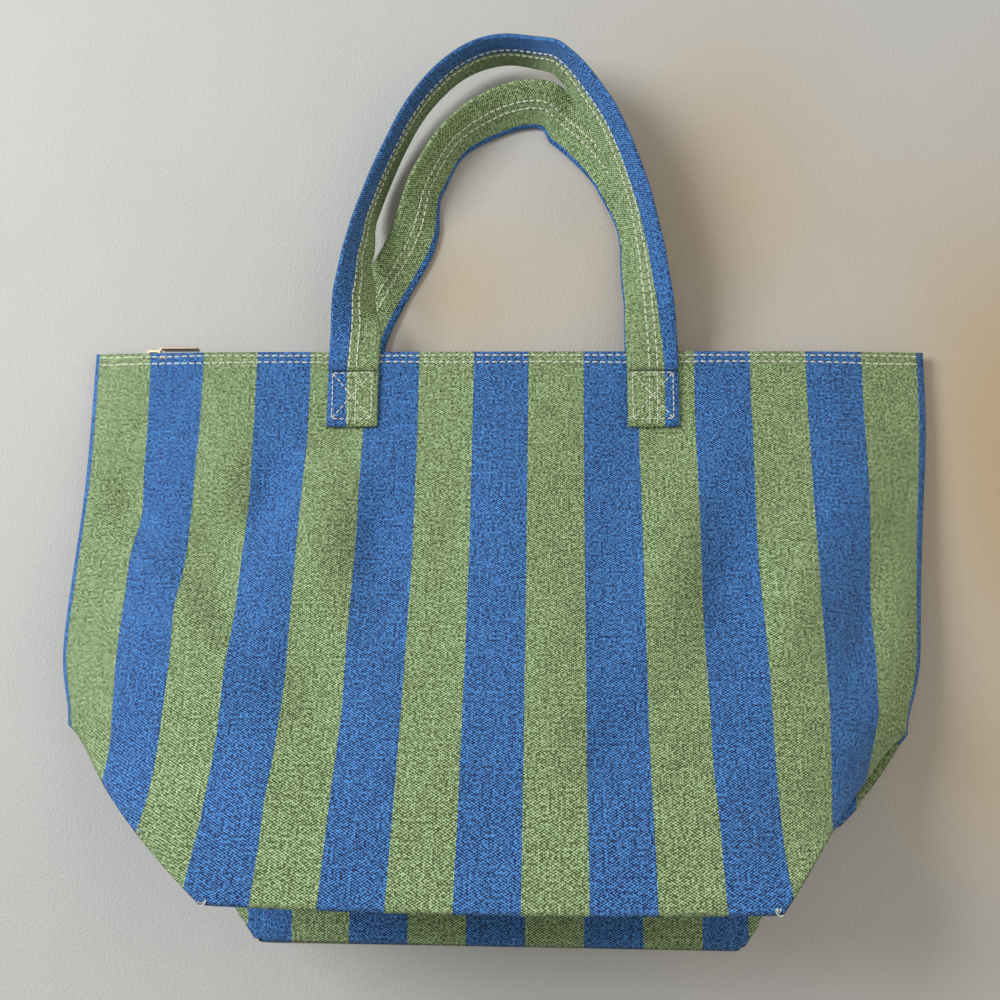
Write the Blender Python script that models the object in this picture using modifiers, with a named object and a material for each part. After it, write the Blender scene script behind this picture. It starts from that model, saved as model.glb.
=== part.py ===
"""Foldable canvas tote bag, lying on its back with its base folded in and its zip open.

The row frame is in metres. The bag lies on z = 0, +X runs across the bag, +Y runs from the base
to the handles, and +Z is up, out of the front panel. The origin is under the middle of its box.
"""

import math

import bmesh
import bpy

# Driving dimensions of the cloth
MOUTH_WIDTH = 0.456          # across the mouth, seam to seam
PANEL_HEIGHT = 0.305         # from the mouth to the base crease
BASE_DEPTH = 0.200           # from the front crease to the back crease
CANVAS = 0.0016              # thickness of the hemmed, doubled canvas
GAP = 0.0003                 # clearance between pieces that touch

# How the bag lies
MOUTH_Y = 0.06475            # the mouth's place in the row frame
BACK_REACH = 0.313           # from the mouth to the back crease, flat on the surface
FRONT_REACH = 0.2835         # from the mouth to the front crease, measured level
CREASE_RISE = 0.095          # height of the front crease's inner face
MOUTH_RISE = 0.0165          # height of the front panel's inner face at the mouth
SEAM_RISE = 0.0074           # the same at the side seams
BACK_LIFT = 0.0030           # the back panel over the back handle's ends
LIFT_LENGTH = 0.060          # how far from the mouth the back panel takes to come down

# Handles
STRAP_WIDTH = 0.028
STRAP_THICKNESS = 0.0026
HANDLE_SPACING = 0.1634      # between the middles of a handle's two ends
STRAP_TAIL = 0.0460          # from the mouth to the sewn end
BOX_STITCH_TOP = 0.0132      # from the mouth to where a front strap comes free
FRONT_LOOP = 0.1835          # how far the front handle reaches past the mouth
BACK_LOOP = 0.1642
BACK_STRAP_FREE = 0.0018     # past the mouth, where the back strap comes free

# Zip
ZIP_LENGTH = 0.408
TAPE_WIDTH = 0.0110
TAPE_THICKNESS = 0.0007
TEETH_DEPTH = 0.0022
TEETH_THICKNESS = 0.0017
SLIDER_X = -0.1970
SLIDER_LENGTH = 0.0090
SLIDER_LOW = 0.0050          # the slider's lower and upper edges, over the surface
SLIDER_HIGH = 0.0124
PIN_ALONG = 0.0036           # the pull's pin, from the slider's middle
PIN_OUT = 0.0054             # the pull's pin, out from the slider's inner face
TEETH_SET = 0.0034           # the teeth's root, below the mouth
PULL_LENGTH = 0.0205
PULL_WIDTH = 0.0052
PULL_THICKNESS = 0.0013

HALF_MOUTH = MOUTH_WIDTH / 2
HALF_DEPTH = BASE_DEPTH / 2
HALF_BASE = HALF_MOUTH - HALF_DEPTH
FOLD_HEIGHT = PANEL_HEIGHT - HALF_DEPTH      # where the gusset's slanting fold begins
VALLEY = 0.0960                              # the base's fold lies this far in from the back crease


def clear_scene():
    """Removes what the file holds, so that only the bag is left."""
    for item in list(bpy.data.objects):
        bpy.data.objects.remove(item)


def material(name, colour, roughness, metallic=0.0):
    """A Principled BSDF material of one colour."""
    made = bpy.data.materials.new(name)
    made.use_nodes = True
    shader = made.node_tree.nodes["Principled BSDF"]
    shader.inputs["Base Color"].default_value = (*colour, 1.0)
    shader.inputs["Roughness"].default_value = roughness
    shader.inputs["Metallic"].default_value = metallic
    return made


def smoothstep(value):
    """0 below 0, 1 above 1, and smooth between them."""
    share = min(1.0, max(0.0, value))
    return share * share * (3 - 2 * share)


def link(name, mesh, look, parts):
    """An object for a mesh, in the bag's collection, with its own material."""
    made = bpy.data.objects.new(name, mesh)
    mesh.materials.append(look)
    parts.objects.link(made)
    return made


def sheet(name, place, columns, rows, thickness, look, parts, side=1.0):
    """A sheet of cloth: a grid shaped by place(u, v), with u from -1 to 1 and v from 0 to 1.

    It is thickened towards its normal with side 1, and about its middle with side 0.
    """
    shaped = bmesh.new()
    bmesh.ops.create_grid(shaped, x_segments=columns, y_segments=rows, size=1.0)
    for vertex in shaped.verts:
        vertex.co = place(vertex.co.x, (1 - vertex.co.y) / 2)
    mesh = bpy.data.meshes.new(name)
    shaped.to_mesh(mesh)
    shaped.free()
    made = link(name, mesh, look, parts)
    solid = made.modifiers.new("Thickness", "SOLIDIFY")
    solid.thickness = thickness
    solid.offset = side
    return made


def plate(name, corners, thickness, look, parts):
    """A flat piece of cloth between its corners, thickened about its middle."""
    shaped = bmesh.new()
    shaped.faces.new([shaped.verts.new(corner) for corner in corners])
    mesh = bpy.data.meshes.new(name)
    shaped.to_mesh(mesh)
    shaped.free()
    made = link(name, mesh, look, parts)
    solid = made.modifiers.new("Thickness", "SOLIDIFY")
    solid.thickness = thickness
    solid.offset = 0.0
    return made


def block(name, low, high, look, parts, bevel=0.0):
    """A box between two corners, with its origin at its middle."""
    shaped = bmesh.new()
    bmesh.ops.create_cube(shaped, size=1.0)
    size = [b - a for a, b in zip(low, high)]
    bmesh.ops.scale(shaped, vec=size, verts=shaped.verts)
    mesh = bpy.data.meshes.new(name)
    shaped.to_mesh(mesh)
    shaped.free()
    made = link(name, mesh, look, parts)
    made.location = [(a + b) / 2 for a, b in zip(low, high)]
    if bevel:
        rounding = made.modifiers.new("Rounding", "BEVEL")
        rounding.width = bevel
        rounding.segments = 2
    return made


def set_origin(piece, point):
    """Puts a piece's origin on its joint's axis without moving the piece."""
    shift = [now - new for now, new in zip(piece.location, point)]
    for vertex in piece.data.vertices:
        vertex.co = [a + b for a, b in zip(vertex.co, shift)]
    piece.location = point


# The bag's cloth

def half_width(height):
    """Half the panel's width at a distance from the mouth, along the cloth."""
    if height <= FOLD_HEIGHT:
        return HALF_MOUTH
    return HALF_MOUTH - (height - FOLD_HEIGHT) * HALF_DEPTH / (PANEL_HEIGHT - FOLD_HEIGHT)


def front_height(across, height):
    """Height of the front panel's inner face: an arch over the mouth, a dome over the base."""
    middle = MOUTH_RISE + (CREASE_RISE - MOUTH_RISE) * (height / PANEL_HEIGHT) ** 1.9
    lifted = smoothstep((height - FOLD_HEIGHT) / (PANEL_HEIGHT - FOLD_HEIGHT))
    edge = SEAM_RISE + (CREASE_RISE - SEAM_RISE) * lifted
    squareness = 8.0 - 4.8 * smoothstep(height / 0.070)
    fall = min(1.0, abs(across / half_width(height)) ** squareness)
    return middle + (edge - middle) * fall


def front_point(across, height):
    """A point of the front panel's inner face in the row frame."""
    reach = height * FRONT_REACH / PANEL_HEIGHT
    return (across, MOUTH_Y - reach, front_height(across, height))


def back_height(height):
    """Height of the back panel's under face, which clears the handle's ends at the mouth."""
    return BACK_LIFT * (1 - smoothstep((height - STRAP_TAIL - 0.004) / LIFT_LENGTH))


def front_panel(look, parts):
    """The front of the bag, from its mouth to the front crease."""
    def place(u, v):
        height = PANEL_HEIGHT * v
        return front_point(u * half_width(height), height)
    return sheet("front_panel", place, 26, 18, CANVAS, look, parts)


def back_panel(look, parts):
    """The back of the bag, which lies on the surface, from its mouth to the back crease."""
    def place(u, v):
        height = PANEL_HEIGHT * v
        across = u * half_width(height)
        return (across, MOUTH_Y - v * BACK_REACH, back_height(height))
    return sheet("back_panel", place, 2, 18, CANVAS, look, parts)


def base_halves(look, parts):
    """The base, folded in along its middle: one half lies on the back panel, one rises."""
    low = CANVAS + GAP
    crease = MOUTH_Y - BACK_REACH
    valley = crease + VALLEY
    half = HALF_BASE - GAP
    block(
        "base_back_half", (-half, crease, low), (half, valley, low + CANVAS), look, parts
    )
    foot = low + CANVAS + 0.0020
    top = CREASE_RISE - 0.0015
    front = MOUTH_Y - FRONT_REACH + 0.0012

    def place(u, v):
        return (u * half, front + (valley - front) * v, top + (foot - top) * v)
    sheet("base_front_half", place, 2, 4, CANVAS, look, parts, side=0.0)


def gussets(look, parts):
    """The folded corners between the panels: two triangles on each side, meeting at the fold."""
    low = CANVAS * 1.5 + GAP
    crease = MOUTH_Y - BACK_REACH
    front = MOUTH_Y - FRONT_REACH
    fold = MOUTH_Y - FOLD_HEIGHT
    for side, word in ((-1, "left"), (1, "right")):
        inner = side * (HALF_BASE + 0.0006)
        outer = side * (HALF_MOUTH - 0.0080)
        valley = crease + VALLEY
        plate(
            f"gusset_back_{word}",
            [(inner, crease + 0.0010, low), (inner, valley, low), (outer, fold - 0.0070, low)],
            CANVAS,
            look,
            parts,
        )
        plate(
            f"gusset_front_{word}",
            [
                (inner, front + 0.0040, CREASE_RISE - 0.0060),
                (inner, valley + 0.0010, low + 0.0030),
                (outer - side * 0.004, fold - 0.0010, low + 0.0030),
            ],
            CANVAS,
            look,
            parts,
        )


def seams(look, parts):
    """Bound seam allowances inside the bag: one up each side and one along the base's fold."""
    for side, word in ((-1, "left"), (1, "right")):
        def place(u, v, side=side):
            height = 0.004 + (FOLD_HEIGHT - 0.010) * v
            across = side * (HALF_MOUTH - 0.0050 + 0.0036 * u)
            low = back_height(height) + CANVAS
            high = front_height(across, height)
            return (across, MOUTH_Y - height, (low + high) / 2)
        sheet(f"side_seam_{word}", place, 1, 14, CANVAS, look, parts, side=0.0)
    valley = MOUTH_Y - BACK_REACH + VALLEY
    half = HALF_BASE - 0.002
    low = CANVAS + GAP
    block(
        "base_seam", (-half, valley + 0.0022, low), (half, valley + 0.0102, low + CANVAS),
        look, parts,
    )


# The handles

def between(stops, place):
    """A value that eases from each stop to the next. A stop is a place and a value."""
    for (near, low), (far, high) in zip(stops, stops[1:]):
        if place <= far:
            return low + (high - low) * smoothstep((place - near) / (far - near))
    return stops[-1][1]


class Loop:
    """The shape of a strap's free loop, from its left end to its right end.

    It lies flat at its ends and stands up on its inner edge round the top.
    """

    def __init__(self, reach, start_y, lean, lean_by, widths, rolls, levels):
        self.reach = reach
        self.start_y = start_y          # where its ends come free
        self.lean = lean                # how far its top leans to +X
        self.lean_by = lean_by          # where the left and right legs have leant over
        self.widths = widths            # how much wider than the sewn ends each leg runs
        self.rolls = rolls              # each leg's roll in degrees, by its share of the reach
        self.levels = levels            # the same for the height of its inner edge

    def edge(self, angle):
        """Its outer edge in plan, from the left end (pi) to the right end (0)."""
        leg = 0 if angle > math.pi / 2 else 1
        past = self.reach * math.sin(angle)
        centre = self.lean * smoothstep(past / self.lean_by[leg])
        half = (HANDLE_SPACING + STRAP_WIDTH) / 2
        half += self.widths[leg] * smoothstep(past / 0.100)
        return (centre + half * math.cos(angle), past)

    def point(self, angle, across):
        """A point of its under face, across the strap from its outer edge to its inner one."""
        step = 0.002
        leg = 0 if angle > math.pi / 2 else 1
        x0, y0 = self.edge(min(math.pi, angle + step))
        x1, y1 = self.edge(max(0.0, angle - step))
        x, past = self.edge(angle)
        length = math.hypot(x1 - x0, y1 - y0)
        inward = ((y1 - y0) / length, -(x1 - x0) / length)
        roll = math.radians(between(self.rolls[leg], past / self.reach))
        level = between(self.levels[leg], past / self.reach)
        y = self.start_y + past * (1 - (self.start_y - MOUTH_Y) / self.reach)
        width = STRAP_WIDTH * across
        return (
            x + inward[0] * width * math.cos(roll),
            y + inward[1] * width * math.cos(roll),
            level + (STRAP_WIDTH - width) * math.sin(roll),
        )


def handles(look, parts):
    """Two straps. Each has two sewn ends and one free loop that swings at the box stitches."""
    for side, word in ((-1, "left"), (1, "right")):
        middle = side * HANDLE_SPACING / 2
        low = middle - STRAP_WIDTH / 2
        high = middle + STRAP_WIDTH / 2

        def place(u, v, middle=middle):
            height = BOX_STITCH_TOP + (STRAP_TAIL - BOX_STITCH_TOP) * v
            across = middle + u * STRAP_WIDTH / 2
            x, y, z = front_point(across, height)
            return (x, y, z + CANVAS + GAP)
        sheet(f"front_handle_end_{word}", place, 2, 4, STRAP_THICKNESS, look, parts)
        block(
            f"back_handle_end_{word}",
            (low, MOUTH_Y - STRAP_TAIL, 0.0),
            (high, MOUTH_Y + BACK_STRAP_FREE - 2 * GAP, STRAP_THICKNESS),
            look,
            parts,
        )
    front_end = MOUTH_Y - BOX_STITCH_TOP * FRONT_REACH / PANEL_HEIGHT + 2 * GAP
    front = Loop(
        FRONT_LOOP, front_end, 0.001, (0.100, 0.100), (-0.0010, -0.0034),
        (
            ((0, 0), (0.08, 2), (0.237, 45), (0.371, 66), (0.50, 79), (1.0, 85)),
            ((0, 0), (0.08, 2), (0.237, 27), (0.371, 44), (0.51, 57), (0.80, 66), (1.0, 85)),
        ),
        (
            ((0, 0.0187), (0.08, 0.0187), (0.60, 0.0020), (1.0, 0.0080)),
            ((0, 0.0187), (0.08, 0.0187), (0.50, 0.0150), (0.75, 0.0170), (0.94, 0.0170), (1.0, 0.0080)),
        ),
    )
    make_loop("front_handle", front, look, parts)
    back = Loop(
        BACK_LOOP, MOUTH_Y + BACK_STRAP_FREE, 0.016, (0.088, 0.100), (-0.0055, -0.0174),
        (
            ((0, 0), (0.40, 10), (0.66, 56), (0.80, 62), (1.0, 44)),
            ((0, 0), (0.25, 26), (0.50, 46), (0.66, 40), (0.94, 16), (1.0, 44)),
        ),
        (((0, 0.0), (1.0, 0.0)), ((0, 0.0), (1.0, 0.0))),
    )
    make_loop("back_handle", back, look, parts)


def make_loop(name, loop, look, parts):
    """One strap's free loop, with its origin on the axis that it swings about."""
    def place(u, v):
        return loop.point(math.pi * (1 - v), (u + 1) / 2)
    made = sheet(name, place, 2, 60, STRAP_THICKNESS, look, parts, side=-1.0)
    set_origin(made, (0.0, loop.start_y, loop.levels[0][0][1] + STRAP_THICKNESS))
    return made


# The zip

def zip_rows(tape_look, teeth_look, parts):
    """A tape and a row of teeth inside each edge of the mouth."""
    back_face = BACK_LIFT + CANVAS + GAP
    half = ZIP_LENGTH / 2
    edge = MOUTH_Y - TEETH_SET

    def front_tape(u, v):
        across = u * half
        drop = GAP + TAPE_THICKNESS
        height = TEETH_SET + TAPE_WIDTH * v
        return (across, MOUTH_Y - height, front_height(across, height) - drop)

    def front_teeth(u, v):
        across = u * half
        drop = GAP + TEETH_THICKNESS
        return (across, edge + GAP + TEETH_DEPTH * (1 - v), front_height(across, 0.0) - drop)
    sheet("zip_tape_front", front_tape, 26, 2, TAPE_THICKNESS, tape_look, parts)
    sheet("zip_teeth_front", front_teeth, 26, 1, TEETH_THICKNESS, teeth_look, parts)
    block(
        "zip_tape_back", (-half, edge - TAPE_WIDTH, back_face),
        (half, edge, back_face + TAPE_THICKNESS), tape_look, parts,
    )
    block(
        "zip_teeth_back", (-half, edge + GAP, back_face),
        (half, edge + GAP + TEETH_DEPTH, back_face + TEETH_THICKNESS), teeth_look, parts,
    )
    for side, word in ((-1, "bottom"), (1, "top")):
        near = side * (half + GAP)
        far = side * (half + GAP + 0.003)
        block(
            f"zip_{word}_stop", (min(near, far), edge + GAP, back_face),
            (max(near, far), edge + GAP + TEETH_DEPTH, back_face + TEETH_THICKNESS),
            teeth_look, parts, bevel=0.0003,
        )


def zip_slider(look, parts, cutters):
    """The slider: an outer plate with a bridge, a post between the rows and an inner plate."""
    half = SLIDER_LENGTH / 2
    teeth_end = MOUTH_Y - TEETH_SET + GAP + TEETH_DEPTH
    outer = teeth_end + GAP
    made = block(
        "zip_slider", (SLIDER_X - half, outer, SLIDER_LOW),
        (SLIDER_X + half, outer + 0.0013, SLIDER_HIGH), look, parts,
    )
    middle = (SLIDER_LOW + SLIDER_HIGH) / 2
    pieces = [
        ("post", (-0.0018, -0.0042, -0.0014), (0.0018, 0.0005, 0.0014)),
        ("inner", (-0.0036, -0.0056, -0.0018), (0.0036, -0.0040, 0.0018)),
        ("bridge_foot", (-0.0036, 0.0010, -0.0012), (-0.0024, 0.0040, 0.0012)),
        ("bridge_top", (-0.0036, 0.0034, -0.0012), (0.0036, 0.0046, 0.0012)),
        ("bridge_end", (0.0024, 0.0010, -0.0012), (0.0036, 0.0040, 0.0012)),
        ("pin_lug", (PIN_ALONG - 0.0006, 0.0040, -0.0010),
         (PIN_ALONG + 0.0006, PIN_OUT + 0.0006, 0.0010)),
    ]
    for word, low, high in pieces:
        corner = (SLIDER_X + low[0], outer + low[1], middle + low[2])
        other = (SLIDER_X + high[0], outer + high[1], middle + high[2])
        tool = block(f"cut_{word}", corner, other, look, cutters)
        tool.hide_render = True
        tool.display_type = "WIRE"
        join = made.modifiers.new(word, "BOOLEAN")
        join.operation = "UNION"
        join.object = tool
    return made


def zip_pull(look, parts):
    """The pull: a flat tab on the slider's pin, lying along the mouth."""
    pin = SLIDER_X + PIN_ALONG
    y = MOUTH_Y - TEETH_SET + 2 * GAP + TEETH_DEPTH + PIN_OUT
    middle = (SLIDER_LOW + SLIDER_HIGH) / 2
    start = pin + 0.0012
    made = block(
        "zip_pull", (start, y - PULL_THICKNESS / 2, middle - PULL_WIDTH / 2),
        (start + PULL_LENGTH, y + PULL_THICKNESS / 2, middle + PULL_WIDTH / 2),
        look, parts, bevel=0.0004,
    )
    set_origin(made, (pin, y, middle))
    return made


def build():
    """Makes every piece of the bag."""
    clear_scene()
    parts = bpy.data.collections.new("foldable_tote_bag")
    cutters = bpy.data.collections.new("cutters")
    for group in (parts, cutters):
        bpy.context.scene.collection.children.link(group)
    green = (0.240, 0.330, 0.085)
    blue = (0.040, 0.130, 0.420)
    front_panel(material("canvas_front", green, 0.85), parts)
    back_panel(material("canvas_back", blue, 0.85), parts)
    base_halves(material("canvas_base", blue, 0.85), parts)
    gussets(material("canvas_gusset", green, 0.85), parts)
    seams(material("seam_binding", (0.55, 0.54, 0.45), 0.90), parts)
    handles(material("strap_canvas", green, 0.85), parts)
    zip_rows(
        material("zip_tape", (0.30, 0.26, 0.19), 0.90),
        material("zip_teeth", (0.42, 0.34, 0.24), 0.35, 1.0),
        parts,
    )
    zip_slider(material("zip_slider", (0.45, 0.38, 0.30), 0.32, 1.0), parts, cutters)
    zip_pull(material("zip_pull", (0.42, 0.35, 0.26), 0.32, 1.0), parts)


build()
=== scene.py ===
"""Striped canvas tote bag, lying on its back on a pale cloth: the looks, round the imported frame."""

import math

import bmesh
import bpy
import numpy as np
from mathutils import Euler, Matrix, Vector, noise


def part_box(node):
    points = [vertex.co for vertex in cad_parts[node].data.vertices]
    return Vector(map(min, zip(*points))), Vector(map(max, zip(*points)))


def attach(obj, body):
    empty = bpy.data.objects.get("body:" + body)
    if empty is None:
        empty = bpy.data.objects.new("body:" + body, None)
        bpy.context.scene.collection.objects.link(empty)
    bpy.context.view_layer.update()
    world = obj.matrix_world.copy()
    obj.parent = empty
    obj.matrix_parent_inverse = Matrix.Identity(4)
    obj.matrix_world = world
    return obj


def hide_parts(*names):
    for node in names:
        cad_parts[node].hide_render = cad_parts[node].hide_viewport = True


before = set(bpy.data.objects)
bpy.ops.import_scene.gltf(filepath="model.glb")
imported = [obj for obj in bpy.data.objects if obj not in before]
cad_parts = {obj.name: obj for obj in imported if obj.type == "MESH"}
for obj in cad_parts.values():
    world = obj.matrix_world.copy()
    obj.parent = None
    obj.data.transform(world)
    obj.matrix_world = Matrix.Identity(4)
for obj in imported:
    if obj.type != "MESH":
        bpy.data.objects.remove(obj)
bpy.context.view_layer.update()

# Cloth sizes, as the bag was cut
STRIPE = 0.030
STRIPE_START = -0.2258
WARP_PITCH = 0.00105
WEFT_PITCH = 0.000675
PANEL_HEIGHT = 0.305
HALF_DEPTH = 0.100
CLOTH = 0.0013
HEM_ROWS = (0.0024, 0.0066)
STITCH = 0.0042

# Places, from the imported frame
BACK_LOW, BACK_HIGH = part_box("back_panel")
FRONT_LOW, FRONT_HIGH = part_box("front_panel")
MOUTH_Y = BACK_HIGH.y
HALF_MOUTH = BACK_HIGH.x
BACK_CREASE = BACK_LOW.y
FRONT_CREASE = FRONT_LOW.y
CREASE_TOP = FRONT_HIGH.z
HALF_BASE = HALF_MOUTH - HALF_DEPTH
FOLD_HEIGHT = PANEL_HEIGHT - HALF_DEPTH
END_LEFT_LOW, END_LEFT_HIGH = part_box("front_handle_end_left")
END_RIGHT_LOW, END_RIGHT_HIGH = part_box("front_handle_end_right")
VALLEY_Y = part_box("base_back_half")[1].y
BACK_LIFT = 0.0030
MOUTH_RISE = 0.0181
SEAM_RISE = 0.0062
LEVEL_REACH = (MOUTH_Y - FRONT_CREASE) / PANEL_HEIGHT
SEAM_REACH = 0.995                  # the same along the side seams, which lie almost level
FRONT_VALLEY = 0.0060               # height of each canvas at the base's folded-in middle
BACK_VALLEY = 0.0036
FRONT_SAG = 0.0030                  # how far the front half of the base bows


# Shader expressions

class Wire:
    """A shader socket that takes part in sums. Each operation adds one Math node."""

    def __init__(self, look, socket):
        self.look = look
        self.socket = socket

    def math(self, operation, *others):
        return self.look.node("ShaderNodeMath", {"operation": operation}, [self, *others])

    def clamped(self):
        """The value held between 0 and 1."""
        return self.math("MAXIMUM", 0.0).math("MINIMUM", 1.0)

    def __add__(self, other):
        return self.math("ADD", other)

    def __sub__(self, other):
        return self.math("SUBTRACT", other)

    def __rsub__(self, other):
        return self.look.node("ShaderNodeMath", {"operation": "SUBTRACT"}, [other, self])

    def __mul__(self, other):
        return self.math("MULTIPLY", other)

    def __truediv__(self, other):
        return self.math("DIVIDE", other)

    def __gt__(self, other):
        return self.math("GREATER_THAN", other)

    __radd__ = __add__
    __rmul__ = __mul__


class Look:
    """A material with a Principled shader, and the nodes that feed it."""

    def __init__(self, name, roughness, metallic=0.0, sheen=0.0):
        self.material = bpy.data.materials.new(name)
        self.material.use_nodes = True
        self.tree = self.material.node_tree
        self.shader = self.tree.nodes["Principled BSDF"]
        self.set("Roughness", roughness)
        self.set("Metallic", metallic)
        self.set("Sheen Weight", sheen)

    def set(self, socket, value):
        """A value, or a link, for one socket of the shader."""
        self.plug(self.shader.inputs[socket], value)

    def plug(self, socket, value):
        """Links a value to a socket, or sets it there. A colour of three is opaque."""
        if isinstance(value, Wire):
            self.tree.links.new(value.socket, socket)
        elif isinstance(value, tuple) and len(value) < len(socket.default_value):
            socket.default_value = (*value, 1.0)
        else:
            socket.default_value = value

    def node(self, kind, settings, inputs, output=0):
        """A node of a type, with its settings and the values or links of its sockets."""
        made = self.tree.nodes.new(kind)
        for key, value in settings.items():
            setattr(made, key, value)
        pairs = inputs.items() if isinstance(inputs, dict) else enumerate(inputs)
        for key, value in pairs:
            self.plug(made.inputs[key], value)
        return Wire(self, made.outputs[output])

    def uv(self, name="cloth"):
        """Coordinates across and along the cloth, in metres, or a strap's share and width."""
        place = self.node("ShaderNodeUVMap", {"uv_map": name}, [])
        return place, self.part(place, 0), self.part(place, 1)

    def part(self, place, axis):
        return self.node("ShaderNodeSeparateXYZ", {}, [place], axis)

    def noise(self, place, scale, detail=3.0, stretch=(1, 1, 1), roughness=0.5):
        """Noise over coordinates in metres, scale in lumps a metre."""
        scaled = self.node(
            "ShaderNodeVectorMath", {"operation": "MULTIPLY"}, [place, tuple(stretch)]
        )
        return self.node(
            "ShaderNodeTexNoise", {},
            {"Vector": scaled, "Scale": scale, "Detail": detail, "Roughness": roughness},
        )

    def mix(self, share, first, second):
        """A colour between two colours."""
        return self.node(
            "ShaderNodeMix", {"data_type": "RGBA"}, {0: share, 6: first, 7: second}, 2
        )

    def bump(self, height, distance, strength=1.0):
        self.set("Normal", self.node(
            "ShaderNodeBump", {}, {"Strength": strength, "Distance": distance, "Height": height}
        ))


BLUE_DARK, BLUE_LIGHT = (0.001, 0.012, 0.075), (0.070, 0.280, 0.690)
GREEN_DARK, GREEN_LIGHT = (0.045, 0.078, 0.018), (0.420, 0.570, 0.290)


def weave(look, blue):
    """Plain canvas weave: floats of warp and weft, melange yarns, and a blue share from 0 to 1."""
    place, across, along = look.uv()
    turn_across = (across * (math.pi / WARP_PITCH)).math("COSINE")
    turn_along = (along * (math.pi / WEFT_PITCH)).math("COSINE")
    floats = turn_across * turn_along
    slub = look.noise(place, 420.0, 2.0, (1.0, 0.16, 1.0))
    cross_slub = look.noise(place, 420.0, 2.0, (0.16, 1.0, 1.0))
    fleck = look.noise(place, 760.0, 1.0)
    cloudy = look.noise(place, 22.0, 3.0)
    light = floats * 0.85 + 0.34 + (slub - 0.5) * 0.7 + (cross_slub - 0.5) * 0.5
    light = (light + (fleck - 0.5) * 3.4 + (cloudy - 0.5) * 0.16).clamped()
    dark = look.mix(blue, GREEN_DARK, BLUE_DARK)
    bright = look.mix(blue, GREEN_LIGHT, BLUE_LIGHT)
    look.set("Base Color", look.mix(light, dark, bright))
    look.set("Roughness", 0.92 - light * 0.14)
    crown = floats.math("ABSOLUTE") * 0.8 + (slub + cross_slub) * 0.5 + fleck * 0.3
    look.bump(crown, 0.00032, 0.9)


def stripe_share(look):
    """1 on the blue stripes and 0 on the green ones, with an edge as soft as a yarn."""
    place, across, _ = look.uv()
    wander = look.noise(place, 900.0, 1.0)
    steps = (across + (wander - 0.5) * 0.0011 - STRIPE_START) / (2 * STRIPE)
    return steps.math("FRACT") > 0.5


def striped_canvas():
    look = Look("striped_canvas", 0.85, sheen=0.05)
    weave(look, stripe_share(look))
    return look.material


def strap_canvas(name, first, middle, last, inner=False):
    """Strap cloth: blue outside, or inside, a line that runs from first to last of the width."""
    look = Look(name, 0.85, sheen=0.05)
    place, _, _ = look.uv()
    _, share, width = look.uv("loop")
    bow = 4 * middle - 2 * (first + last)
    line = share * (last - first) + first + share * (1 - share) * bow
    wander = look.noise(place, 900.0, 1.0)
    blue = (line + (wander - 0.5) * 0.05) - width > 0.0
    weave(look, 1 - blue if inner else blue)
    return look.material


def thread():
    look = Look("cotton_thread", 0.75, sheen=0.3)
    _, across, along = look.uv()
    twist = (across * 3800.0 + along * 5200.0).math("SINE")
    look.set("Base Color", look.mix(twist * 0.5 + 0.5, (0.50, 0.50, 0.40), (0.80, 0.80, 0.70)))
    look.bump(twist, 0.0001, 0.7)
    return look.material


def woven_tape(name, ribs_along, ribs_across, dark, light, depth):
    """Narrow woven tape, with ribs a metre given as angles."""
    look = Look(name, 0.9)
    _, across, along = look.uv()
    rib = (along * ribs_along).math("SINE") * (across * ribs_across).math("SINE")
    look.set("Base Color", look.mix(rib * 0.5 + 0.5, dark, light))
    look.bump(rib, depth, 0.8)
    return look.material


def brass(name, dull, bright):
    """Old brass: bright where it rubs, dull and speckled elsewhere."""
    look = Look(name, 0.38, metallic=1.0)
    place = look.node("ShaderNodeTexCoord", {}, [], 3)
    cloud = look.noise(place, 260.0, 4.0)
    speck = look.noise(place, 2200.0, 2.0)
    worn = (cloud * 0.7 + speck * 0.5).math("MINIMUM", 1.0)
    look.set("Base Color", look.mix(worn, dull, bright))
    look.set("Roughness", 0.52 - worn * 0.22)
    look.bump(speck, 0.00003, 0.5)
    return look.material


# Mesh tools

def smoothstep(value):
    share = np.clip(value, 0.0, 1.0)
    return share * share * (3 - 2 * share)


def mesh_piece(name, points, faces, looks, uvs=None, loops=None, smooth=True):
    """An object from points and faces, with the cloth's coordinates for each point."""
    mesh = bpy.data.meshes.new(name)
    mesh.from_pydata([tuple(p) for p in points], [], faces)
    for kind, values in (("cloth", uvs), ("loop", loops)):
        if values is None:
            continue
        layer = mesh.uv_layers.new(name=kind)
        order = np.zeros(len(mesh.loops), np.int32)
        mesh.loops.foreach_get("vertex_index", order)
        layer.data.foreach_set("uv", np.asarray(values, np.float32)[order].ravel())
    for look in looks:
        mesh.materials.append(look)
    mesh.polygons.foreach_set("use_smooth", [smooth] * len(mesh.polygons))
    made = bpy.data.objects.new(name, mesh)
    bpy.context.scene.collection.objects.link(made)
    return made


def apply_modifiers(piece):
    """Works a piece's modifiers into its mesh."""
    graph = bpy.context.evaluated_depsgraph_get()
    baked = bpy.data.meshes.new_from_object(piece.evaluated_get(graph))
    piece.modifiers.clear()
    piece.data = baked
    return piece


def thicken(piece, thickness, side=-1.0):
    """Thickens an open sheet: to its inner side at -1, and about its middle at 0."""
    solid = piece.modifiers.new("Thickness", "SOLIDIFY")
    solid.thickness = thickness
    solid.offset = side
    return apply_modifiers(piece)


def grid_faces(columns, rows):
    """Quads of a grid of points, stored row by row."""
    faces = []
    for row in range(rows - 1):
        for column in range(columns - 1):
            a = row * columns + column
            faces.append((a, a + columns, a + columns + 1, a + 1))
    return faces


# The bag's cloth: each panel is one piece of canvas, cut as a T and folded

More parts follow.
